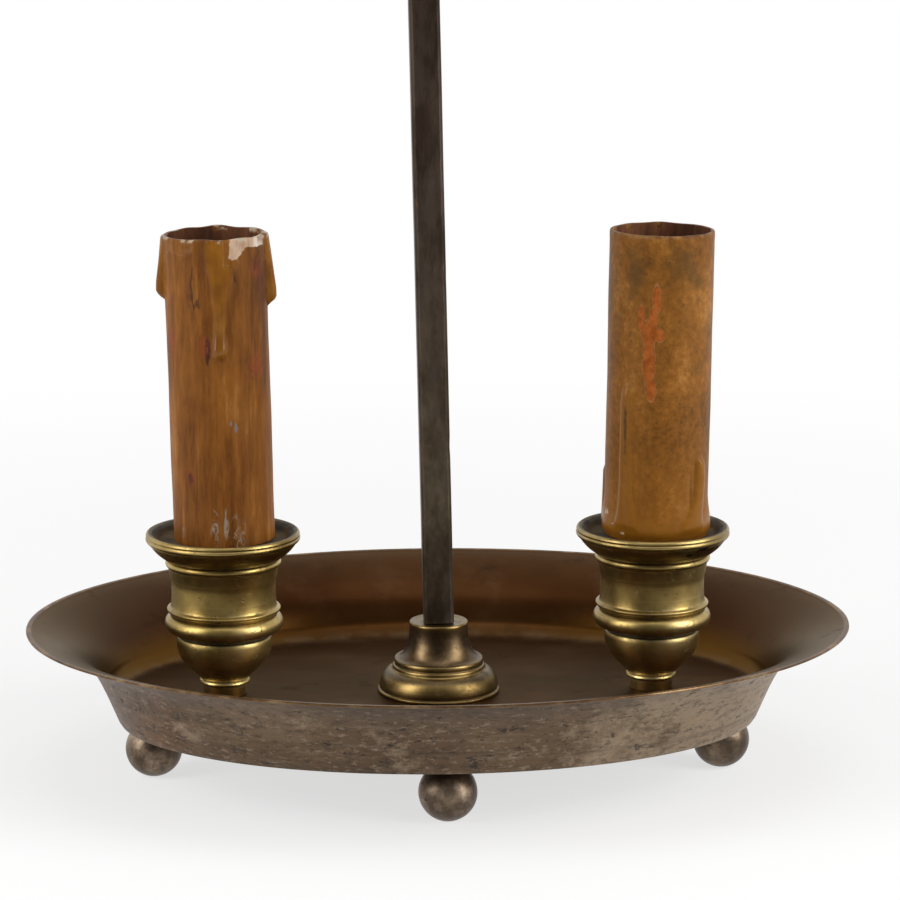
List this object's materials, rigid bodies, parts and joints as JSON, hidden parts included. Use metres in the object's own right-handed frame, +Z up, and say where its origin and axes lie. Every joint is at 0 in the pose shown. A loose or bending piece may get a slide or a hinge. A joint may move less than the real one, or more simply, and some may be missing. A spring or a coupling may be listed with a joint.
{
  "type": "bouillotte lamp",
  "caption": "Table lamp with an oval flared tray on ball feet, candle sleeves in turned cups, and an oval shade that slides on a square stem.",
  "frame": {"origin": "on the table under the centre of the tray, level with the flats of the ball feet", "axes": "+Z up; +X to the right along the tray's long axis, +Y to the back, away from the picture's camera"},
  "size_m": [0.27, 0.2056, 0.477],
  "materials": {
    "tray_silvered": "silver plate worn to copper, brushed",
    "feet_silvered": "silver plate, worn and mottled",
    "turned_brass": "turned, aged olive patina",
    "stem_bar": "drawn bar, dark brown patina",
    "steel": "plain zinc plated",
    "holder_brass": "pressed and lacquered",
    "porcelain": "unglazed white",
    "wax_left": "wax coated card, streaked and chipped",
    "wax_right": "wax coated card, scratched",
    "wire": "insulated wire",
    "tole": "dark green japanned sheet",
    "gilt": "gilt brass"
  },
  "bodies": {
    "lamp": {"tray": "tray_silvered", "bottom_plate": "tray_silvered", "ball_feet": "feet_silvered", "stem_base": "turned_brass", "stem": "stem_bar", "stem_washer": "steel", "stem_nut": "steel", "finial": "turned_brass", "cup_left": "turned_brass", "cup_right": "turned_brass", "tube_left": "steel", "tube_right": "steel", "tube_nuts": "steel", "tube_washers": "steel", "holder_left": "holder_brass", "holder_right": "holder_brass", "insert_left": "porcelain", "insert_right": "porcelain", "wires_left": "wire", "wires_right": "wire", "terminal_block": "porcelain", "inlet_bush": "turned_brass"},
    "left_sleeve": {"sleeve_left": "wax_left"},
    "right_sleeve": {"sleeve_right": "wax_right"},
    "left_front_plunger": {"plunger_left_front": "holder_brass"},
    "left_back_plunger": {"plunger_left_back": "holder_brass"},
    "right_front_plunger": {"plunger_right_front": "holder_brass"},
    "right_back_plunger": {"plunger_right_back": "holder_brass"},
    "shade_frame": {"shade_carrier": "turned_brass", "shade_spider": "gilt", "shade": "tole", "shade_trim_top": "gilt", "shade_trim_bottom": "gilt"},
    "clamp_screw": {"thumbscrew": "turned_brass"}
  },
  "joints": [
    {"name": "shade_slide", "type": "slide", "parent": "lamp", "child": "shade_frame", "axis": [-0.0227, 0, 0.9997], "range_m": [-0.06, 0.03]},
    {"name": "clamp_screw_turn", "type": "hinge", "parent": "shade_frame", "child": "clamp_screw", "pos_m": [-0.00792, 0, 0.40001], "axis": [0, -1, 0], "range_deg": [0, 360]},
    {"name": "sleeve_left_lift", "type": "slide", "parent": "lamp", "child": "left_sleeve", "axis": [0, 0, 1], "range_m": [0, 0.42]},
    {"name": "sleeve_right_lift", "type": "slide", "parent": "lamp", "child": "right_sleeve", "axis": [0, 0, 1], "range_m": [0, 0.42]},
    {"name": "plunger_left_front_press", "type": "slide", "parent": "lamp", "child": "left_front_plunger", "axis": [0, 0, -1], "range_m": [0, 0.003], "stiffness_N_per_m": 1500, "springref_m": -0.002},
    {"name": "plunger_left_back_press", "type": "slide", "parent": "lamp", "child": "left_back_plunger", "axis": [0, 0, -1], "range_m": [0, 0.003], "stiffness_N_per_m": 1500, "springref_m": -0.002},
    {"name": "plunger_right_front_press", "type": "slide", "parent": "lamp", "child": "right_front_plunger", "axis": [0, 0, -1], "range_m": [0, 0.003], "stiffness_N_per_m": 1500, "springref_m": -0.002},
    {"name": "plunger_right_back_press", "type": "slide", "parent": "lamp", "child": "right_back_plunger", "axis": [0, 0, -1], "range_m": [0, 0.003], "stiffness_N_per_m": 1500, "springref_m": -0.002}
  ]
}
